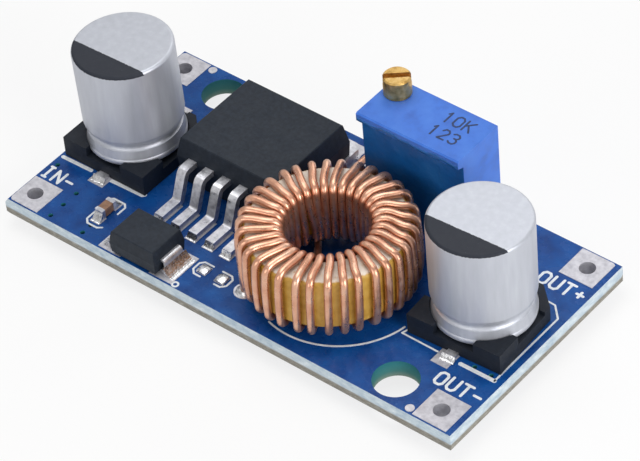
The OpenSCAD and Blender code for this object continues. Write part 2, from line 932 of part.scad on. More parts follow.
// Solder round a wire in a plated hole, with a cone under the board and a rim on top
module hole_joint(p, bore, wire, flange) {
    inside = wire + hair;
    translate([p[0], p[1], 0])
        rotate_extrude()
            polygon([
                [inside, tail_z + 0.15], [inside + 0.12, tail_z + 0.15], [inside + 0.25, -0.45],
                [flange - 0.08, -foil], [bore - hair, -foil], [bore - hair, deck],
                [flange - 0.15, deck], [inside + 0.06, deck + 0.2], [inside, deck + 0.2]
            ]);
}

module solder_joints() {
    color("#c6c6ca") {
        for (p = inductor_holes())
            hole_joint(p, eyelet_r, wire_r, eyelet_pad_r);
        for (x = pin_x)
            hole_joint(trimmer_xy + [x, pin_y], pin_hole_r, pin_r, pin_pad_r);
        for (i = [-2:2])
            translate([regulator_x + i * lead_pitch, foot_end, deck])
                toe_fillet(lead_w + 0.1, 0.35, lead_t * 0.8);
        for (c = [[input_xy, input_turn], [output_xy, output_turn]], a = [0, 180])
            at_capacitor(c[0], c[1] + a)
                translate([0, -tab_reach, 0])
                    toe_fillet(1.2, 0.45, 0.35);
        for (a = [90, 270])
            translate([diode_xy[0], diode_xy[1], deck])
                rotate([0, 0, a])
                    translate([0, -diode_reach, 0])
                        toe_fillet(2.6, 0.85, 0.75);
        for (c = [[chip_capacitor_xy, 0.6], [feedback_resistor_xy, 0.3]], a = [0, 180])
            translate([c[0][0], c[0][1], deck])
                rotate([0, 0, a])
                    translate([0, -chip_size[1] / 2, 0])
                        toe_fillet(0.8, 0.55, c[1]);
        for (p = spare_pads_xy)
            translate([p[0], p[1], deck])
                intersection() {
                    translate([0, 0, -0.75])
                        sphere(r = 1);
                    slab([0.86, 0.9], 0, 1);
                }
    }
}

circuit_board();
terminal_pads();
inductor_eyelets();
trimmer_eyelets();
component_pads();
input_capacitor_base();
input_capacitor_can();
input_capacitor_leads();
output_capacitor_base();
output_capacitor_can();
output_capacitor_leads();
regulator_body();
regulator_tab();
regulator_leads();
diode_body();
diode_terminals();
inductor_core();
inductor_winding();
trimmer_housing();
trimmer_screw();
trimmer_seal();
trimmer_wheel();
trimmer_wiper();
trimmer_element();
trimmer_pins();
trimmer_potting();
chip_capacitor_body();
chip_capacitor_ends();
feedback_resistor_body();
feedback_resistor_ends();
solder_joints();
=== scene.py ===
import functools
import math
import bpy
import mathutils
import numpy as np
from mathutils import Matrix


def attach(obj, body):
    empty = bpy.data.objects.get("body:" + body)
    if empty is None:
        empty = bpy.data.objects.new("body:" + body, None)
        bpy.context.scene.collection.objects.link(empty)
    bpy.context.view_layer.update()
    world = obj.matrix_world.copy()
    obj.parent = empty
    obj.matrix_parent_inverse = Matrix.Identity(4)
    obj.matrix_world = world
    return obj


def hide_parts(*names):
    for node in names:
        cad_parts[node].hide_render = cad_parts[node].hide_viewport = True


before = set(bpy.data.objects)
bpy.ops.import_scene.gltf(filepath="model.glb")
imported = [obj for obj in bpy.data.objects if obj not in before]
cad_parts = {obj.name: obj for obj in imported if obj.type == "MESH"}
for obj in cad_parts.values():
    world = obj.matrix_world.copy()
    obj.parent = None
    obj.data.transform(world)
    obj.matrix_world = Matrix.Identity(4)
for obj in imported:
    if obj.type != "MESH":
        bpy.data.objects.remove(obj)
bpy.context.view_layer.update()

mm = 0.001
boardTop = 1.5      # upper face of the laminate, mm
padTop = 1.55       # upper face of the tinned pads, mm
# level of the print on the cans, mm; their upper face is at 11.85, so the print does not show yet
canTop = 11.80


def hexColour(code):
    # sRGB hex to linear: divide by 12.92 near black, otherwise the 2.4 power curve
    parts = [int(code[i:i + 2], 16) / 255 for i in (1, 3, 5)]
    return [p / 12.92 if p <= 0.04045 else ((p + 0.055) / 1.055) ** 2.4 for p in parts] + [1]


def perMm(size):
    # pattern scale, in repeats a metre, for blotches of about size mm
    return 1 / (size * mm)


def addNode(tree, kind, inputs=None, stops=None, **settings):
    # one node: settings by attribute, then for each input, by name or index, a value, a hex colour, a socket to
    # link or a node whose first output is linked; stops are the (place, hex) pairs of a colour ramp
    made = tree.nodes.new("ShaderNode" + kind)
    for name, value in settings.items():
        setattr(made, name, value)
    for name, value in (inputs or {}).items():
        if isinstance(value, bpy.types.Node):
            value = value.outputs[0]
        if isinstance(value, bpy.types.NodeSocket):
            tree.links.new(value, made.inputs[name])
        else:
            made.inputs[name].default_value = hexColour(value) if isinstance(value, str) else value
    if stops:
        band = made.color_ramp
        while len(band.elements) < len(stops):
            band.elements.new(0.5)
        for element, (place, code) in zip(band.elements, stops):
            element.position = place
            element.color = hexColour(code)
    return made


def startMaterial(name, base, roughness, metallic=0.0, **sockets):
    # a new material with its constants on the shader, and what its pattern is built with
    made = bpy.data.materials.new(name)
    made.use_nodes = True
    tree = made.node_tree
    shader = tree.nodes["Principled BSDF"]
    shader.inputs["Base Color"].default_value = hexColour(base)
    shader.inputs["Roughness"].default_value = roughness
    shader.inputs["Metallic"].default_value = metallic
    for key, value in sockets.items():
        shader.inputs[key.replace("_", " ")].default_value = value
    add = functools.partial(addNode, tree)
    return made, add, shader, add("TexCoord").outputs["Object"]


def wire(made, node, shader, name):
    source = node if isinstance(node, bpy.types.NodeSocket) else node.outputs[0]
    made.node_tree.links.new(source, shader.inputs[name])


def blotchedFinish(name, base, roughness, metallic, tone, stops, gloss, grain, **sockets):
    # tone is (blotch mm, pattern roughness) under the colour stops, gloss is (blotch mm, lowest and highest
    # roughness), and grain is a list of (grain mm, detail, depth mm), laid one on the other
    made, add, shader, where = startMaterial(name, base, roughness, metallic, **sockets)
    blotch = add("TexNoise", {"Vector": where, "Scale": perMm(tone[0]), "Detail": 4.0, "Roughness": tone[1]})
    wire(made, add("ValToRGB", {"Fac": blotch}, stops), shader, "Base Color")
    sheen = add("TexNoise", {"Vector": where, "Scale": perMm(gloss[0]), "Detail": 3.0, "Roughness": 0.5})
    wire(made, add("MapRange", {"Value": sheen, "From Min": 0.3, "From Max": 0.7, "To Min": gloss[1],
                                "To Max": gloss[2]}), shader, "Roughness")
    relief = None
    for size, detail, depth in grain:
        height = add("TexNoise", {"Vector": where, "Scale": perMm(size), "Detail": detail, "Roughness": 0.5})
        inputs = {"Height": height, "Strength": 1.0, "Distance": depth * mm}
        relief = add("Bump", inputs if relief is None else {**inputs, "Normal": relief})
    wire(made, relief, shader, "Normal")
    return made


print("materials")

boardLook = {"mask": "#0F4A92", "maskDark": "#0A3A7C", "maskLight": "#1659A4", "fleck": "#3F86BE",
             "maskWall": "#2F7E86", "scoreCut": "#C9D6DE", "web": "#8E8A80", "webFrom": 0.92, "webTo": 1.06,
             "insideX": 21.3, "insideY": 10.3}


def solderMaskLaminate():
    # blue photo-imaged solder mask over etched copper on glass-epoxy: glossy, with faint raised areas of copper,
    # small dust-sized bumps, and a pale scored edge with brown-grey broken fibres along its middle
    made, add, shader, where = startMaterial("solderMaskOnGlassEpoxy", boardLook["mask"], 0.4,
                                             Specular_IOR_Level=0.3)
    place = add("SeparateXYZ", {"Vector": where}).outputs
    facing = add("NewGeometry").outputs["Normal"]
    up = add("SeparateXYZ", {"Vector": facing}).outputs["Z"]
    blotch = add("TexNoise", {"Vector": where, "Scale": perMm(2.2), "Detail": 4.0, "Roughness": 0.6})
    tone = add("ValToRGB", {"Fac": blotch},
               [(0.3, boardLook["maskDark"]), (0.5, boardLook["mask"]), (0.72, boardLook["maskLight"])])
    speck = add("TexNoise", {"Vector": where, "Scale": perMm(0.22), "Detail": 2.0, "Roughness": 0.5})
    fleck = add("ValToRGB", {"Fac": speck}, [(0.66, "#000000"), (0.74, "#FFFFFF")])
    fleckShare = add("Math", {0: fleck, 1: 0.22}, operation="MULTIPLY")
    tone = add("Mix", {0: fleckShare, 6: tone, 7: boardLook["fleck"]}, data_type="RGBA").outputs[2]
    # fibres and cut marks run along the board's faces, so both patterns are drawn out sideways
    fibreRun = add("Mapping", {"Vector": where, "Scale": (0.25, 0.25, 1.6)})
    fibreNoise = add("TexNoise", {"Vector": fibreRun, "Scale": perMm(0.16), "Detail": 4.0, "Roughness": 0.7})
    fibre = add("ValToRGB", {"Fac": fibreNoise}, [(0.3, "#77736A"), (0.5, boardLook["web"]), (0.72, "#B9B7B0")])
    cutRun = add("Mapping", {"Vector": where, "Scale": (0.3, 0.3, 1.0)})
    cutNoise = add("TexNoise", {"Vector": cutRun, "Scale": perMm(0.3), "Detail": 4.0, "Roughness": 0.7})
    cut = add("ValToRGB", {"Fac": cutNoise}, [(0.32, "#A9BCCB"), (0.55, boardLook["scoreCut"]), (0.8, "#E9F1F5")])
    middle = add("MapRange", {"Value": place["Z"], "From Min": boardLook["webFrom"] * mm,
                              "From Max": boardLook["webTo"] * mm}, interpolation_type="SMOOTHSTEP")
    edge = add("Mix", {0: middle, 6: fibre, 7: cut}, data_type="RGBA").outputs[2]
    # the bored holes keep a green-blue wall where the mask's colour shines through the resin
    acrossY = add("Math", {0: place["Y"]}, operation="ABSOLUTE")
    acrossX = add("Math", {0: place["X"]}, operation="ABSOLUTE")
    withinY = add("Math", {0: acrossY, 1: boardLook["insideY"] * mm}, operation="LESS_THAN")
    withinX = add("Math", {0: acrossX, 1: boardLook["insideX"] * mm}, operation="LESS_THAN")
    inside = add("Math", {0: withinY, 1: withinX}, operation="MULTIPLY")
    height = add("Math", {0: place["Z"], 1: 1 / (boardTop * mm)}, operation="MULTIPLY")
    wall = add("ValToRGB", {"Fac": height}, [(0.0, "#9FB3A4"), (0.35, "#4F8F8C"), (0.9, boardLook["maskWall"])])
    edge = add("Mix", {0: inside, 6: edge, 7: wall}, data_type="RGBA").outputs[2]
    steep = add("Math", {0: up}, operation="ABSOLUTE")
    side = add("Math", {0: steep, 1: 0.93}, operation="LESS_THAN")
    wire(made, add("Mix", {0: side, 6: tone, 7: edge}, data_type="RGBA").outputs[2], shader, "Base Color")
    sheen = add("TexNoise", {"Vector": where, "Scale": perMm(1.0), "Detail": 3.0, "Roughness": 0.5})
    gloss = add("MapRange", {"Value": sheen, "From Min": 0.3, "From Max": 0.7, "To Min": 0.2, "To Max": 0.34})
    sideDull = add("Math", {0: side, 1: 0.35}, operation="MULTIPLY")
    wire(made, add("Math", {0: gloss, 1: sideDull}, operation="ADD"), shader, "Roughness")
    copper = add("TexNoise", {"Vector": where, "Scale": perMm(3.0), "Detail": 2.0, "Roughness": 0.5})
    relief = add("Bump", {"Height": copper, "Strength": 1.0, "Distance": 0.03 * mm})
    dust = add("TexNoise", {"Vector": where, "Scale": perMm(0.25), "Detail": 2.0, "Roughness": 0.5})
    relief = add("Bump", {"Height": dust, "Strength": 1.0, "Distance": 0.006 * mm, "Normal": relief})
    wire(made, relief, shader, "Normal")
    return made


def mattTin():
    # immersion tin on copper: pale grey, slightly lilac, dull with a fine grain
    return blotchedFinish("mattTinOnCopper", "#C9C8CE", 0.48, 0.55, (0.5, 0.6),
                          [(0.25, "#AAA9B0"), (0.5, "#C4C3C9"), (0.8, "#DAD9DE")],
                          (0.7, 0.38, 0.6), [(0.12, 3.0, 0.006), (0.9, 2.0, 0.02)])


def satinTinPlate():
    # electroplated tin on a stamped copper-alloy lead: silvery white, softly blurred reflections, tiny pits
    return blotchedFinish("satinTinPlate", "#D5D5DA", 0.34, 0.85, (0.45, 0.6),
                          [(0.25, "#A8A8AE"), (0.5, "#D5D5DA"), (0.75, "#ECECF0")],
                          (0.5, 0.26, 0.48), [(0.1, 3.0, 0.006), (0.6, 2.0, 0.012)])


def brightSolder():
    # reflowed tin-silver solder: bright, wet-looking wedges with a slightly crystalline skin; the dark patches in
    # its colour are painted reflections
    return blotchedFinish("reflowedSolder", "#D6D6D8", 0.22, 0.95, (0.3, 0.65),
                          [(0.25, "#8F8C88"), (0.5, "#CFCFD1"), (0.75, "#F2F2F2")],
                          (0.2, 0.14, 0.38), [(0.16, 3.0, 0.02), (0.5, 2.0, 0.05)])


def mouldedEpoxy(name="mouldedEpoxyCompound", base="#202731", light="#29313D"):
    # silica-filled epoxy moulding compound: near-black with a cool cast, fine spark-eroded texture, a soft sheen
    return blotchedFinish(name, base, 0.55, 0.0, (0.35, 0.65), [(0.25, "#171D26"), (0.5, base), (0.8, light)],
                          (1.2, 0.48, 0.64), [(0.07, 3.0, 0.006), (1.5, 2.0, 0.01)], Specular_IOR_Level=0.28)


def blackPolymerBase():
    # glass-filled nylon capacitor base: black and satin, with faint moulding flow marks
    return mouldedEpoxy("glassFilledNylonBase", "#151B25", "#212833")


canLook = {"aluminium": "#C3C6CF", "print": "#111826", "inkFrom": 11.70, "inkTo": 11.72}


def drawnCan(name, centreX, centreY, turnDeg, markedAt):
    # laminated drawn aluminium can: pale satin metal with vertical streaks from drawing; the polarity segment is
    # printed black across the top and laps a little over the rim
    made, add, shader, where = startMaterial(name, canLook["aluminium"], 0.42, 0.6)
    move = add("Mapping", {"Vector": where, "Location": (centreX * mm, centreY * mm, 0),
                           "Rotation": (0, 0, math.radians(turnDeg))}, vector_type="TEXTURE")
    place = add("SeparateXYZ", {"Vector": move}).outputs
    drawn = add("Mapping", {"Vector": move, "Scale": (1.0, 1.0, 0.12)})
    streak = add("TexNoise", {"Vector": drawn, "Scale": perMm(0.5), "Detail": 3.0, "Roughness": 0.6})
    metal = add("ValToRGB", {"Fac": streak}, [(0.25, "#BDC1C9"), (0.5, canLook["aluminium"]), (0.8, "#CBCFD6")])
    blot = add("TexNoise", {"Vector": move, "Scale": perMm(0.18), "Detail": 3.0, "Roughness": 0.5})
    centred = add("Math", {0: blot, 1: 0.5}, operation="SUBTRACT")
    ragged = add("Math", {0: centred, 1: 0.12 * mm}, operation="MULTIPLY")
    line = add("Math", {0: place["Y"], 1: ragged}, operation="ADD")
    segment = add("Math", {0: line, 1: markedAt * mm}, operation="LESS_THAN")
    lap = add("Math", {0: blot, 1: 0.12 * mm}, operation="MULTIPLY")
    level = add("Math", {0: place["Z"], 1: lap}, operation="ADD")
    onTop = add("MapRange", {"Value": level, "From Min": canLook["inkFrom"] * mm,
                             "From Max": canLook["inkTo"] * mm})
    printed = add("Math", {0: segment, 1: onTop}, operation="MULTIPLY")
    speck = add("TexNoise", {"Vector": where, "Scale": perMm(0.12), "Detail": 2.0, "Roughness": 0.5})
    dust = add("ValToRGB", {"Fac": speck}, [(0.7, "#000000"), (0.76, "#FFFFFF")])
    dustShare = add("Math", {0: dust, 1: 0.35}, operation="MULTIPLY")
    ink = add("Mix", {0: dustShare, 6: canLook["print"], 7: "#596070"}, data_type="RGBA").outputs[2]
    wire(made, add("Mix", {0: printed, 6: metal, 7: ink}, data_type="RGBA").outputs[2], shader, "Base Color")
    masked = add("Math", {0: printed, 1: 0.6}, operation="MULTIPLY")
    wire(made, add("Math", {0: 0.6, 1: masked}, operation="SUBTRACT"), shader, "Metallic")
    gloss = add("MapRange", {"Value": streak, "From Min": 0.3, "From Max": 0.7, "To Min": 0.4, "To Max": 0.46})
    inkDull = add("Math", {0: printed, 1: 0.2}, operation="MULTIPLY")
    wire(made, add("Math", {0: gloss, 1: inkDull}, operation="ADD"), shader, "Roughness")
    wire(made, add("Bump", {"Height": streak, "Strength": 1.0, "Distance": 0.0015 * mm}), shader, "Normal")
    return made


coreLook = {"whiteFrom": 7.66, "whiteTo": 7.74}   # heights between which the yellow gives way to white, mm


def powderCorePaint():
    # pressed iron-powder ring with baked epoxy paint: ochre-yellow sides, an off-white top, slightly orange-peeled
    made, add, shader, where = startMaterial("bakedEpoxyOnPowderCore", "#CDA243", 0.42)
    place = add("SeparateXYZ", {"Vector": where}).outputs
    cloud = add("TexNoise", {"Vector": where, "Scale": perMm(1.0), "Detail": 4.0, "Roughness": 0.5})
    yellow = add("ValToRGB", {"Fac": cloud}, [(0.25, "#B4882C"), (0.5, "#D0A545"), (0.8, "#DDBA62")])
    paleCloud = add("TexNoise", {"Vector": where, "Scale": perMm(0.8), "Detail": 4.0, "Roughness": 0.5})
    white = add("ValToRGB", {"Fac": paleCloud}, [(0.3, "#DFD6C4"), (0.6, "#F3EDE2")])
    stray = add("TexNoise", {"Vector": where, "Scale": perMm(0.5), "Detail": 3.0, "Roughness": 0.5})
    lift = add("Math", {0: stray, 1: 0.25 * mm}, operation="MULTIPLY")
    ragged = add("Math", {0: place["Z"], 1: lift}, operation="ADD")
    top = add("MapRange", {"Value": ragged, "From Min": coreLook["whiteFrom"] * mm,
                           "From Max": coreLook["whiteTo"] * mm})
    wire(made, add("Mix", {0: top, 6: yellow, 7: white}, data_type="RGBA").outputs[2], shader, "Base Color")
    peel = add("TexNoise", {"Vector": where, "Scale": perMm(0.3), "Detail": 3.0, "Roughness": 0.5})
    wire(made, add("Bump", {"Height": peel, "Strength": 1.0, "Distance": 0.015 * mm}), shader, "Normal")
    return made


def enamelledCopper():
    # copper wire under clear polyurethane enamel: pinkish copper, glossy coat, darker where the enamel is thick
    return blotchedFinish("enamelledCopperWire", "#DDA585", 0.3, 0.85, (1.1, 0.5),
                          [(0.25, "#C98D70"), (0.5, "#DDA688"), (0.8, "#EBC0A6")],
                          (0.5, 0.24, 0.38), [(0.35, 2.0, 0.008)], Coat_Weight=0.5, Coat_Roughness=0.12)


def trimmerNylon():
    # glass-filled thermoplastic, injection moulded: saturated mid-blue, satin, with faint sink marks
    return blotchedFinish("mouldedBlueThermoplastic", "#3F77DB", 0.45, 0.0, (1.6, 0.6),
                          [(0.25, "#3568C6"), (0.5, "#4079DC"), (0.8, "#4F87E4")],
                          (0.8, 0.38, 0.52), [(0.15, 3.0, 0.006), (2.0, 2.0, 0.03)])


def castResinWithShade():
    # cast epoxy that seals the trimmer: deep blue, glossy, a little uneven, with dust caught in it; the depth of
    # its blue is partly the epoxy's own colour and partly painted shade of the forward-facing faces it covers
    made, add, shader, where = startMaterial("castBlueEpoxyWithShade", "#1260A8", 0.35)
    cloud = add("TexNoise", {"Vector": where, "Scale": perMm(2.5), "Detail": 4.0, "Roughness": 0.6})
    tone = add("ValToRGB", {"Fac": cloud}, [(0.25, "#0C549A"), (0.5, "#1462AC"), (0.8, "#2A74BC")])
    speck = add("TexNoise", {"Vector": where, "Scale": perMm(0.2), "Detail": 2.0, "Roughness": 0.5})
    dust = add("ValToRGB", {"Fac": speck}, [(0.7, "#000000"), (0.76, "#FFFFFF")])
    dustShare = add("Math", {0: dust, 1: 0.5}, operation="MULTIPLY")
    tone = add("Mix", {0: dustShare, 6: tone, 7: "#5E8FC4"}, data_type="RGBA").outputs[2]
    wire(made, tone, shader, "Base Color")
    swell = add("TexNoise", {"Vector": where, "Scale": perMm(1.4), "Detail": 3.0, "Roughness": 0.5})
    wire(made, add("Bump", {"Height": swell, "Strength": 1.0, "Distance": 0.12 * mm}), shader, "Normal")
    return made


def turnedBrass():
    # brass turned on a lathe and left bare: warm yellow, finely grained, slightly tarnished
    return blotchedFinish("turnedBrass", "#D9B26A", 0.36, 0.95, (0.5, 0.5),
                          [(0.25, "#A67F42"), (0.5, "#D5AE68"), (0.8, "#E9CD94")],
                          (0.4, 0.3, 0.46), [(0.08, 3.0, 0.006)])


def plainFinish(name, base, dark, light, rough, grainMm):
    # one tone with faint blotches four grains across
    return blotchedFinish(name, base, rough, 0.0, (grainMm * 4, 0.5), [(0.25, dark), (0.5, base), (0.8, light)],
                          (grainMm * 2, rough - 0.05, rough + 0.08), [(grainMm, 3.0, 0.008)])


laminate = solderMaskLaminate()
padTin = mattTin()
leadTin = satinTinPlate()
solder = brightSolder()
epoxyBody = mouldedEpoxy()
baseNylon = blackPolymerBase()
corePaint = powderCorePaint()
copperWire = enamelledCopper()
bluePlastic = trimmerNylon()
# cast resin, whose deep blue is partly painted shade
blueResinWithShade = castResinWithShade()
brass = turnedBrass()
# moulded nitrile: dull black with a faint bloom
sealRubber = plainFinish("mouldedNitrile", "#1C1C1D", "#141415", "#2A2A2B", 0.6, 0.1)
# natural acetal: warm white, waxy
wheelAcetal = plainFinish("naturalAcetal", "#E9E5DA", "#D8D3C6", "#F4F1E8", 0.4, 0.2)
# tape-cast alumina: chalky white
aluminaPlate = plainFinish("sinteredAlumina", "#ECE8DF", "#DDD8CC", "#F7F4EE", 0.6, 0.15)
# fired barium-titanate ceramic: warm brown, satin
chipCeramic = plainFinish("firedBrownCeramic", "#9A745A", "#7C5B45", "#B98F73", 0.4, 0.12)
# screen-printed epoxy ink: opaque white, slightly uneven film
silkInk = plainFinish("screenPrintedWhiteInk", "#EFF3F6", "#D5DEE5", "#FAFCFD", 0.5, 0.12)
# pad-printed dark ink on the aluminium tops
darkInk = plainFinish("padPrintedBlackInk", "#232833", "#1A1E27", "#343A47", 0.45, 0.1)
# dark ink on blue plastic
navyInk = plainFinish("padPrintedNavyInk", "#16305E", "#10264D", "#21407A", 0.5, 0.1)
# laser-dulled grey on moulded black epoxy
greyInk = plainFinish("fadedGreyInk", "#4A5059", "#3F454D", "#5A616B", 0.6, 0.1)

canInput = drawnCan("drawnAluminiumInput", -17.38, -0.08, 0, -1.66)
canOutput = drawnCan("drawnAluminiumOutput", 16.53, 0.24, 3, -1.74)

finishes = {
    "circuit_board": laminate, "terminal_pads": padTin, "inductor_eyelets": leadTin,
    "trimmer_eyelets": leadTin,
    "component_pads": padTin, "input_capacitor_base": baseNylon, "input_capacitor_can": canInput,
    "input_capacitor_leads": leadTin, "output_capacitor_base": baseNylon, "output_capacitor_can": canOutput,
    "output_capacitor_leads": leadTin, "regulator_body": epoxyBody, "regulator_tab": leadTin,
    "regulator_leads": leadTin, "diode_body": epoxyBody, "diode_terminals": leadTin,
    "inductor_core": corePaint, "inductor_winding": copperWire, "trimmer_housing": bluePlastic,
    "trimmer_screw": brass, "trimmer_seal": sealRubber, "trimmer_wheel": wheelAcetal,
    "trimmer_wiper": brass, "trimmer_element": aluminaPlate, "trimmer_pins": leadTin,
    "trimmer_potting": blueResinWithShade, "chip_capacitor_body": chipCeramic, "chip_capacitor_ends": leadTin,
    "feedback_resistor_body": epoxyBody, "feedback_resistor_ends": leadTin, "solder_joints": solder,
}
for nodeName, finish in finishes.items():
    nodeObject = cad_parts[nodeName]
    nodeObject.data.materials.clear()
    nodeObject.data.materials.append(finish)


def makePiece(name, verts, faces, finish, body="module", smooth=True):
    data = bpy.data.meshes.new(name)
    data.from_pydata((np.asarray(verts) * mm).tolist(), [], faces)
    data.materials.append(finish)
    if smooth:
        data.shade_smooth()
    piece = bpy.data.objects.new(name, data)
    bpy.context.scene.collection.objects.link(piece)
    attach(piece, body)
    return piece


def gridFaces(rows, columns, closed=True):
    # quads between neighbouring rows of a grid; closed joins the last column to the first
    r = np.arange(rows - 1)[:, None]
    c = np.arange(columns if closed else columns - 1)[None, :]
    n = (c + 1) % columns
    corners = (r * columns + c, r * columns + n, (r + 1) * columns + n, (r + 1) * columns + c)
    return np.stack(np.broadcast_arrays(*corners), -1).reshape(-1, 4).tolist()


def unitRows(v):
    return v / np.maximum(np.linalg.norm(v, axis=-1, keepdims=True), 1e-12)


print("lettering")

# each letter is a few strokes in a cell 6 wide and 10 high; a stroke is a run of corner points
strokes = {
    "I": [[(1.6, 0), (4.4, 0)], [(3, 0), (3, 10)], [(1.6, 10), (4.4, 10)]],
    "N": [[(0, 0), (0, 10), (6, 0), (6, 10)]],
    "O": [[(1.6, 0), (4.4, 0), (6, 1.8), (6, 8.2), (4.4, 10), (1.6, 10), (0, 8.2), (0, 1.8), (1.6, 0)]],
    "U": [[(0, 10), (0, 1.8), (1.6, 0), (4.4, 0), (6, 1.8), (6, 10)]],
    "T": [[(0, 10), (6, 10)], [(3, 10), (3, 0)]],
    "+": [[(0.6, 5), (5.4, 5)], [(3, 2.6), (3, 7.4)]],
    "-": [[(0.6, 5), (5.4, 5)]],
    "0": [[(1.8, 0), (4.2, 0), (6, 2), (6, 8), (4.2, 10), (1.8, 10), (0, 8), (0, 2), (1.8, 0)]],
    "1": [[(1.2, 8), (3, 10), (3, 0)]],
    "2": [[(0, 8), (1.6, 10), (4.4, 10), (6, 8.2), (6, 6.6), (0, 0), (6, 0)]],
    "3": [[(0, 9), (1.6, 10), (4.4, 10), (6, 8.4), (6, 6.8), (4.2, 5.4), (2.6, 5.4)],
          [(4.2, 5.4), (6, 3.8), (6, 1.8), (4.4, 0), (1.6, 0), (0, 1.2)]],
    "5": [[(5.6, 10), (0.6, 10), (0.2, 5.6), (1.8, 6.4), (4.2, 6.4), (6, 4.6), (6, 1.8), (4.4, 0),
           (1.6, 0), (0, 1.2)]],
    "V": [[(0, 10), (3, 0), (6, 10)]],
    "K": [[(0, 0), (0, 10)], [(6, 10), (0, 4.2)], [(2, 6), (6, 0)]],
    "u": [[(0, 7), (0, 1.6), (1.4, 0), (3.6, 0), (5, 1.4)], [(5, 7), (5, 0)]],
    "F": [[(0, 0), (0, 10), (5.8, 10)], [(0, 5.4), (4.6, 5.4)]],
}


def strokeMesh(runs, width, thick):
    # each straight length of a run is a capsule: a half circle of 7 points, centre + width / 2 * (cos, sin),
    # about each end, on axes along and across the length, at two heights
    runs = [np.asarray(run, float) for run in runs]
    starts = np.concatenate([run[:-1] for run in runs])
    ends = np.concatenate([run[1:] for run in runs])
    along = unitRows(ends - starts)
    half = np.linspace(-np.pi / 2, np.pi / 2, 7)
    side = np.stack([-along[:, 1], along[:, 0]], -1)
    cosine, sine = np.cos(half)[None, :, None], np.sin(half)[None, :, None]
    round7 = width / 2 * (cosine * along[:, None] + sine * side[:, None])
    outline = np.concatenate([ends[:, None] + round7, starts[:, None] - round7], 1)
    count, n = outline.shape[:2]
    # neighbouring capsules sit a hair apart in height so that their tops never coincide
    lift = (np.arange(count) % 3)[:, None, None] * 0.0012
    flat = np.concatenate([np.concatenate([outline, np.zeros((count, n, 1))], -1),
                           np.concatenate([outline, np.full((count, n, 1), thick) + lift], -1)], 1)
    verts = flat.reshape(-1, 3)
    base = (np.arange(count) * 2 * n)[:, None]
    ring = np.arange(n)
    nextRing = (ring + 1) % n
    quads = np.stack([ring, nextRing, nextRing + n, ring + n], -1)
    faces = (base[:, :, None] + quads[None]).reshape(-1, 4).tolist()
    faces += (base + ring[None] + n).tolist()
    faces += (base + ring[::-1][None]).tolist()
    return verts, faces


def textRuns(text, height, spacing=1.35, squeeze=1.0):
    # the strokes of a line of text, its lower left corner at the origin
    unit = height / 10
    runs = []
    for index, letter in enumerate(text):
        shift = index * 6 * spacing * unit * squeeze
        runs += [[(shift + px * unit * squeeze, py * unit) for px, py in run] for run in strokes.get(letter, [])]
    return runs


def moveRuns(runs, corner):
    return [[(px + corner[0], py + corner[1]) for px, py in run] for run in runs]


def flatPrint(name, runs, width, z, finish, thick=0.02):
    verts, faces = strokeMesh(runs, width, thick)
    verts[:, 2] += z
    return makePiece(name, verts, faces, finish, smooth=False)


labelLook = {"height": 1.2, "stroke": 0.22, "spacing": 1.5}
labels = {"inMinus": ("IN-", (-21.3, -7.0)), "inPlus": ("IN+", (-21.0, 5.7)),
          "outPlus": ("OUT+", (17.1, 5.65)), "outMinus": ("OUT-", (17.2, -6.95))}
for labelName, (text, corner) in labels.items():
    runs = moveRuns(textRuns(text, labelLook["height"], labelLook["spacing"]), corner)
    flatPrint("label_" + labelName, runs, labelLook["stroke"], boardTop, silkInk)


def arcRun(cx, cy, r, fromDeg, toDeg, count=40):
    a = np.radians(np.linspace(fromDeg, toDeg, count))
    return list(zip(cx + r * np.cos(a), cy + r * np.sin(a)))


silkThick = [
    [(-21.15, -4.46), (-18.3, -4.38)], [(-16.3, -4.36), (-13.15, -4.24), (-13.0, -4.1)],
    [(17.78, -4.4), (20.83, -4.36)],
]
silkThin = [
    [(-13.12, -3.5), (-13.16, 0.0)],
    [(12.5, -3.9), (12.36, -4.36), (15.67, -4.37)],
    [(20.83, -4.36), (20.83, 3.35), (19.83, 4.36), (19.05, 4.4)],
]
silkChip = [
    [(-14.95, -7.5), (-14.95, -8.6), (-14.6, -8.95), (-13.65, -8.95), (-13.3, -8.7)],
    [(-14.95, -6.9), (-14.95, -6.0), (-14.7, -5.75), (-13.6, -5.75), (-13.3, -6.05), (-13.3, -6.9)],
    [(-3.7, -8.45), (-4.3, -8.45), (-4.65, -8.1), (-4.65, -7.35), (-4.35, -7.05), (-3.5, -7.05)],
    [(-2.3, -8.45), (-1.75, -8.45), (-1.4, -8.1), (-1.4, -7.35), (-1.7, -7.05), (-2.6, -7.05)],
]
flatPrint("silk_capacitor_bars", silkThick, 0.34, boardTop, silkInk)
flatPrint("silk_capacitor_lines", silkThin, 0.15, boardTop, silkInk)
flatPrint("silk_chip_brackets", silkChip, 0.16, boardTop, silkInk)
silkRing = [arcRun(5.47, -2.6, 6.78, -106, -10)]
silkSmallRing = [arcRun(-4.68, -10.15, 0.24, 0, 360, 16)]
flatPrint("silk_ring", silkRing, 0.16, boardTop, silkInk)
flatPrint("silk_small_ring", silkSmallRing, 0.16, boardTop, silkInk)
flatPrint("silk_dot", [[(-18.1, 9.88), (-18.04, 9.88)]], 0.5, boardTop, silkInk)

# printing on the two can tops: three short lines that read along +Y, and follow the lean of each can
canPrint = {"height": 1.3, "stroke": 0.27, "spacing": 1.75, "squeeze": 0.78,
            "lines": [("100", -1.2, -1.0), ("50V", 0.5, -1.05), ("uF", 2.45, -0.95)]}
# each can's place, turn and lean
cans = {"input": ((-17.02, -0.08), 0, -2), "output": ((16.53, 0.24), 3, 0)}


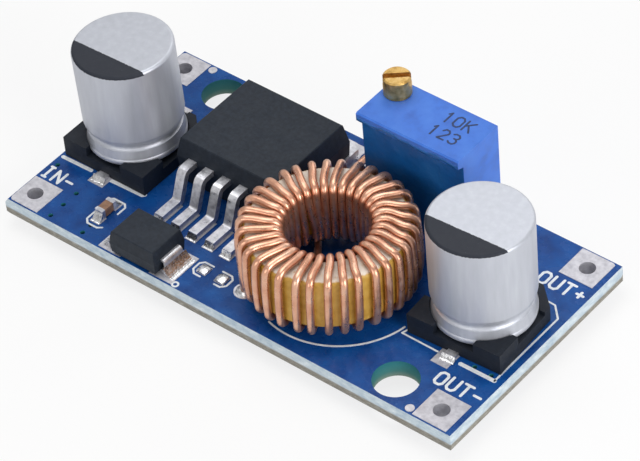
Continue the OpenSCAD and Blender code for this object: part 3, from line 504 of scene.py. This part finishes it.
def onCan(verts, place, turn, lean):
    # Rz(turn) Ry(lean) about the can's seat on the pads
    t, n = math.radians(turn), math.radians(lean)
    leanMatrix = np.array([[math.cos(n), 0, math.sin(n)], [0, 1, 0], [-math.sin(n), 0, math.cos(n)]])
    turnMatrix = np.array([[math.cos(t), -math.sin(t), 0], [math.sin(t), math.cos(t), 0], [0, 0, 1]])
    return verts @ (turnMatrix @ leanMatrix).T + [place[0], place[1], padTop]


for canName, (place, turn, lean) in cans.items():
    runs = []
    for text, baseline, start in canPrint["lines"]:
        line = textRuns(text, canPrint["height"], canPrint["spacing"], canPrint["squeeze"])
        runs += [[(baseline - py, start + px) for px, py in run] for run in line]
    verts, faces = strokeMesh(runs, canPrint["stroke"], 0.012)
    verts[:, 2] += canTop - padTop
    verts = onCan(verts, place, turn, lean)
    makePiece("print_can_" + canName, verts, faces, darkInk, smooth=False)

# value and pin numbers on the trimmer's top
trimmerLook = {"top": 11.53, "stroke": 0.15, "thick": 0.012, "value": (7.65, 7.15), "pins": (7.6, 5.5)}
trimmerPrint = moveRuns(textRuns("10K", 1.1, 1.45, 0.98), trimmerLook["value"])
trimmerPrint += moveRuns(textRuns("123", 1.05, 1.6, 0.92), trimmerLook["pins"])
flatPrint("print_trimmer", trimmerPrint, trimmerLook["stroke"], trimmerLook["top"], navyInk,
          trimmerLook["thick"])

print("coil")

coil = {"centre": np.array([4.92, -3.24]), "turns": 34, "first": -137.5, "wireR": 0.31, "inR": 3.51,
        "outR": 6.59, "low": 2.65, "high": 7.98, "bend": 0.69, "crowd": 6.0, "crowdAt": 40.0,
        "sides": 14, "bendSteps": 9, "spacing": 0.12}
finishing = {"hole": np.array([-1.0, 8.95]), "level": 1.85, "bend": 0.5, "end": 2.27, "sweep": 0.9,
             "tail": -0.95}


def wander(i):
    # hand-wound turns stray a degree or so from even spacing, and crowd to one side by
    # crowd * exp(-(angle / 30)^2)
    away = coil["first"] + i * 360 / coil["turns"] - coil["crowdAt"]
    stray = 0.8 * np.sin(np.radians(137.5 * i)) + 0.3 * np.sin(np.radians(61 * i + 20))
    return stray - coil["crowd"] * np.exp(-(away / 30) ** 2)


def ringPoint(r, z, a):
    a = np.radians(a)
    return np.stack([coil["centre"][0] + r * np.cos(a), coil["centre"][1] + r * np.sin(a), z + 0 * a], -1)


def turnBend(r, z, fromDeg, toDeg, a0, a1):
    # a quarter bend about (r, z) in the plane through the ring's axis, creeping from angle a0 to a1
    k = np.linspace(0, 1, coil["bendSteps"])
    e = np.radians(fromDeg + (toDeg - fromDeg) * k)
    return ringPoint(r + coil["bend"] * np.cos(e), z + coil["bend"] * np.sin(e), a0 + (a1 - a0) * k)


def unit(v):
    return v / np.linalg.norm(v)


def roundedLine(points, radius, count=8):
    # every inner corner becomes a run of points on a quadratic curve that starts and ends radius away from it
    points = [np.asarray(q, float) for q in points]
    out = [points[0]]
    for before, corner, after in zip(points[:-2], points[1:-1], points[2:]):
        t = np.linspace(0, 1, count)[:, None]
        start, end = corner + unit(before - corner) * radius, corner + unit(after - corner) * radius
        out += list((1 - t) ** 2 * start + 2 * t * (1 - t) * corner + t ** 2 * end)
    return np.array(out + [points[-1]])


def windingPath():
    turns, first, step, bend = coil["turns"], coil["first"], 360 / coil["turns"], coil["bend"]
    low, high = coil["low"] + bend, coil["high"] - bend
    runs = []
    for i in range(turns):
        stray = wander(i)
        a = first + i * step
        if i == 0:
            hole = ringPoint(coil["outR"], 0.0, a + stray)
            runs += [np.array([[hole[0], hole[1], finishing["tail"]], [hole[0], hole[1], low]])]
        else:
            runs.append(turnBend(coil["outR"] - bend, low, -90, 0, a + stray - 0.6, a + stray))
        over = a + 0.15 * step + stray
        runs.append(turnBend(coil["outR"] - bend, high, 0, 90, over, over + 0.6))
        runs.append(turnBend(coil["inR"] + bend, high, 90, 180, a + 0.5 * step - 0.3, a + 0.5 * step))
        if i < turns - 1:
            # a few turns at the back left slant down the bore
            slant = 0.6 * step - 7.0 * np.exp(-((a - 148) / 12) ** 2)
            runs.append(turnBend(coil["inR"] + bend, low, 180, 270, a + slant, a + slant + 0.3))
    a = np.radians(first + (turns - 0.4) * step)
    start = coil["centre"] + coil["inR"] * np.array([np.cos(a), np.sin(a)])
    inward = -np.array([np.cos(a), np.sin(a)])
    r, level = finishing["bend"], finishing["level"]
    runs.append(np.array([[start[0], start[1], low]]))
    e = np.radians(np.linspace(0, 90, 7)[:-1])
    flat = start + inward * r * (1 - np.cos(e))[:, None]
    runs.append(np.column_stack([flat, level + r * (1 - np.sin(e))]))
    lead = [start + inward * r, start + inward * 2.2, [finishing["hole"][0], 2.6], finishing["hole"] - [0, r]]
    line = roundedLine(lead, finishing["sweep"])
    heights = np.full(len(line), level)
    heights[-1] = finishing["end"]
    runs.append(np.column_stack([line, heights]))
    e = np.radians(np.linspace(0, 90, 7)[1:])
    runs.append(np.column_stack([np.full(6, finishing["hole"][0]), finishing["hole"][1] - r * (1 - np.sin(e)),
                                 finishing["end"] - r * (1 - np.cos(e))]))
    runs.append(np.array([[finishing["hole"][0], finishing["hole"][1], finishing["tail"]]]))
    return np.concatenate(runs)


def smoothPath(path, spacing):
    # points spread evenly along the run by length, on cubic Hermite curves through the given ones
    keep = np.concatenate([[True], np.linalg.norm(np.diff(path, axis=0), axis=1) > 1e-6])
    path = path[keep]
    along = np.concatenate([[0], np.cumsum(np.linalg.norm(np.diff(path, axis=0), axis=1))])
    want = np.linspace(0, along[-1], int(along[-1] / spacing) + 1)
    k = np.clip(np.searchsorted(along, want, side="right") - 1, 0, len(path) - 2)
    h = (along[k + 1] - along[k])[:, None]
    t = ((want - along[k]) / h[:, 0])[:, None]
    slope = np.gradient(path, along, axis=0)
    return ((2 * t ** 3 - 3 * t ** 2 + 1) * path[k] + (t ** 3 - 2 * t ** 2 + t) * h * slope[k]
            + (3 * t ** 2 - 2 * t ** 3) * path[k + 1] + (t ** 3 - t ** 2) * h * slope[k + 1])


def sweptWire(path, radius, sides):
    # a ring of points round every point of the run, path + radius * (cos, sin) on two axes square to it. The axes
    # start from each point's least aligned main axis; the turn that the smallest rotation between neighbouring
    # tangents leaves over is summed along the run and taken out, so that the rings do not twist
    tangent = unitRows(np.gradient(path, axis=0))
    first = unitRows(np.cross(tangent, np.eye(3)[np.argmin(np.abs(tangent), axis=1)]))
    second = np.cross(tangent, first)
    both = tangent[:-1] + tangent[1:]
    share = (first[:-1] * tangent[1:]).sum(1) / (1 + (tangent[:-1] * tangent[1:]).sum(1))
    carried = first[:-1] - share[:, None] * both
    start = unit(np.cross(tangent[0], [0.3, 0.5, 0.8]))
    turn = np.arctan2((carried * second[1:]).sum(1), (carried * first[1:]).sum(1))
    turn = np.cumsum(np.concatenate([[np.arctan2(start @ second[0], start @ first[0])], turn]))[:, None]
    across = np.cos(turn) * first + np.sin(turn) * second
    other = np.cross(tangent, across)
    a = np.linspace(0, 2 * np.pi, sides, endpoint=False)[None, :, None]
    rings = path[:, None] + radius * (np.cos(a) * across[:, None] + np.sin(a) * other[:, None])
    n = len(path)
    faces = gridFaces(n, sides)
    faces += [list(range(sides))[::-1], list(range((n - 1) * sides, n * sides))]
    return rings.reshape(-1, 3), faces


verts, faces = sweptWire(smoothPath(windingPath(), coil["spacing"]), coil["wireR"], coil["sides"])
winding = makePiece("round_winding", verts, faces, copperWire)
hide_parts("inductor_winding")

# a film of the trimmer's cast resin, which up the lip's front is painted shade
print("trimmer resin")

resinAndShadeLook = {"left": 1.98, "right": 11.46, "bottom": 1.62, "top": 11.12, "corner": 10.72, "fillet": 0.42,
             "face": 4.79, "lip": 4.185, "film": 0.03, "columns": 120, "rows": 60}


def waves(u, seed, count=5, low=2.0):
    # a sum of sines of rising pitch and falling height, repeatable for each seed
    rng = np.random.default_rng(seed)
    total = 0 * u
    for k in range(count):
        total = total + np.sin(u * low * 1.9 ** k + rng.uniform(0, 6.28)) / 1.6 ** k
    return total / 2.2


# a thin film of the deep blue resin over the recessed face, round the corner and up the lip's front: on the face
# it is the potting's own resin, up the lip it is painted shade of the forward-facing housing
def resinAndShadeSkin():
    # profile in (y, z) from the foot up the face, out along a small concave corner to the lip and up its front,
    # carried along x: y = lip + (face - lip) * sqrt(1 - (1 - near)^2), with near the depth below the corner over
    # the fillet's size; the upper end of each profile and the face's bulge stray with x
    x = np.linspace(resinAndShadeLook["left"], resinAndShadeLook["right"], resinAndShadeLook["columns"])
    t = np.linspace(0, 1, resinAndShadeLook["rows"])[:, None]
    topEdge = resinAndShadeLook["top"] + 0.16 * waves(x, 3, 6, 1.4)
    corner = resinAndShadeLook["corner"]
    z = resinAndShadeLook["bottom"] + (topEdge - resinAndShadeLook["bottom"]) * t
    near = np.clip((corner - z) / resinAndShadeLook["fillet"], 0, 1)
    fillet = resinAndShadeLook["lip"] + (resinAndShadeLook["face"] - resinAndShadeLook["lip"]) * (1 - (1 - near) ** 2) ** 0.5
    y = np.where(z > corner, resinAndShadeLook["lip"], fillet)
    y = y - 0.02 * waves(x[None] * 0.6 + z * 0.5, 7, 4, 1.1) * (near > 0.2)
    xs = np.broadcast_to(x, z.shape).copy()
    verts = np.stack([xs, y, z], -1).reshape(-1, 3)
    return verts, gridFaces(resinAndShadeLook["rows"], resinAndShadeLook["columns"], closed=False)


# the film darkens the lip's front with painted shade
verts, faces = resinAndShadeSkin()
skin = makePiece("trimmer_resin_and_shade_skin", verts, faces, blueResinWithShade)
thick = skin.modifiers.new("film", "SOLIDIFY")
thick.thickness = resinAndShadeLook["film"] * mm
thick.offset = -1

print("camera and light")

# camera: a long lens looking down on the front right of the board
cameraLook = {"azimuth": 42.965, "elevation": 43.594, "roll": -5.576, "distance": 269.886,
              "target": (-0.511, 1.752, 0.0), "lens": 199.15}
az, el, roll = (math.radians(cameraLook[k]) for k in ("azimuth", "elevation", "roll"))
backward = np.array([math.sin(az) * math.cos(el), -math.cos(az) * math.cos(el), math.sin(el)])
rightward = np.array([math.cos(az), math.sin(az), 0.0])
upward = np.cross(backward, rightward)
imageRight = math.cos(roll) * rightward + math.sin(roll) * upward
imageUp = -math.sin(roll) * rightward + math.cos(roll) * upward
cameraData = bpy.data.cameras.new("viewCamera")
cameraData.sensor_width = 36
cameraData.lens = cameraLook["lens"]
cameraData.clip_start = 0.01
cameraData.clip_end = 10
cameraObject = bpy.data.objects.new("viewCamera", cameraData)
bpy.context.scene.collection.objects.link(cameraObject)
eye = (np.array(cameraLook["target"]) + backward * cameraLook["distance"]) * mm
cameraPlace = np.eye(4)
cameraPlace[:3] = np.column_stack([imageRight, imageUp, backward, eye])
cameraObject.matrix_world = mathutils.Matrix(cameraPlace.tolist())
bpy.context.scene.camera = cameraObject


def areaLamp(name, place, target, size, power):
    data = bpy.data.lights.new(name, "AREA")
    data.shape = "RECTANGLE"
    data.size, data.size_y = size[0] * mm, size[1] * mm
    data.energy = power
    lamp = bpy.data.objects.new(name, data)
    lamp.location = [v * mm for v in place]
    away = mathutils.Vector(place) - mathutils.Vector(target)
    lamp.rotation_euler = away.to_track_quat("Z", "Y").to_euler()
    bpy.context.scene.collection.objects.link(lamp)


# each lamp's place, what it points at, its size and its power
lamps = {"skyPanel": ((-50, 30, 260), (0, 0, 0), (220, 220), 0.36),
         "rearPanel": ((-20, 260, 150), (0, 0, 0), (300, 120), 0.14),
         "frontPanel": ((20, -260, 110), (0, 0, 5), (200, 120), 0.16),
         "rightPanel": ((240, -40, 110), (0, 0, 5), (160, 140), 0.40)}
for lampName, lampValues in lamps.items():
    areaLamp(lampName, *lampValues)

worldLook = {"diffuse": 0.2, "glossy": 0.6}   # how bright the white surroundings are for each kind of ray
world = bpy.data.worlds.new("studio")
bpy.context.scene.world = world
world.use_nodes = True
worldTree = world.node_tree
background = worldTree.nodes["Background"]
rays = addNode(worldTree, "LightPath").outputs
seen = addNode(worldTree, "Math", {0: rays["Is Camera Ray"], 1: rays["Is Transmission Ray"]}, operation="MAXIMUM")
mirrored = addNode(worldTree, "Math", {0: rays["Is Glossy Ray"], 1: worldLook["glossy"]}, operation="MULTIPLY")
brightest = addNode(worldTree, "Math", {0: seen, 1: mirrored}, operation="MAXIMUM")
strength = addNode(worldTree, "Math", {0: brightest, 1: worldLook["diffuse"]}, operation="MAXIMUM")
worldTree.links.new(strength.outputs[0], background.inputs["Strength"])
background.inputs["Color"].default_value = (1, 1, 1, 1)

# floor just under the cut ends, which reach 0.95 mm below the board; glow is the share of its own white in view
floorLook = {"half": 2000, "level": -0.96, "pale": 0.93, "rough": 0.9, "specular": 0.1, "glow": 0.8}
half, level = floorLook["half"] * mm, floorLook["level"] * mm
floorData = bpy.data.meshes.new("floor")
floorCorners = [(-half, -half, level), (half, -half, level), (half, half, level), (-half, half, level)]
floorData.from_pydata(floorCorners, [], [(0, 1, 2, 3)])
floorObject = bpy.data.objects.new("floor", floorData)
bpy.context.scene.collection.objects.link(floorObject)
floorPaint = bpy.data.materials.new("paleBoard")
floorPaint.use_nodes = True
floorTree = floorPaint.node_tree
floorShader = floorTree.nodes["Principled BSDF"]
floorShader.inputs["Base Color"].default_value = [floorLook["pale"]] * 3 + [1]
floorShader.inputs["Roughness"].default_value = floorLook["rough"]
floorShader.inputs["Specular IOR Level"].default_value = floorLook["specular"]
floorRays = addNode(floorTree, "LightPath").outputs
floorGlow = addNode(floorTree, "Emission", {"Strength": 1.0})
floorDirect = addNode(floorTree, "Math", {0: floorRays["Is Camera Ray"], 1: floorRays["Is Transmission Ray"]},
                      operation="MAXIMUM")
floorSeen = addNode(floorTree, "Math", {0: floorDirect, 1: floorLook["glow"]}, operation="MULTIPLY")
floorMix = addNode(floorTree, "MixShader", {0: floorSeen, 1: floorShader, 2: floorGlow})
floorTree.links.new(floorMix.outputs[0], floorTree.nodes["Material Output"].inputs["Surface"])
floorData.materials.append(floorPaint)

bpy.context.scene.view_settings.view_transform = "Standard"
print("done")
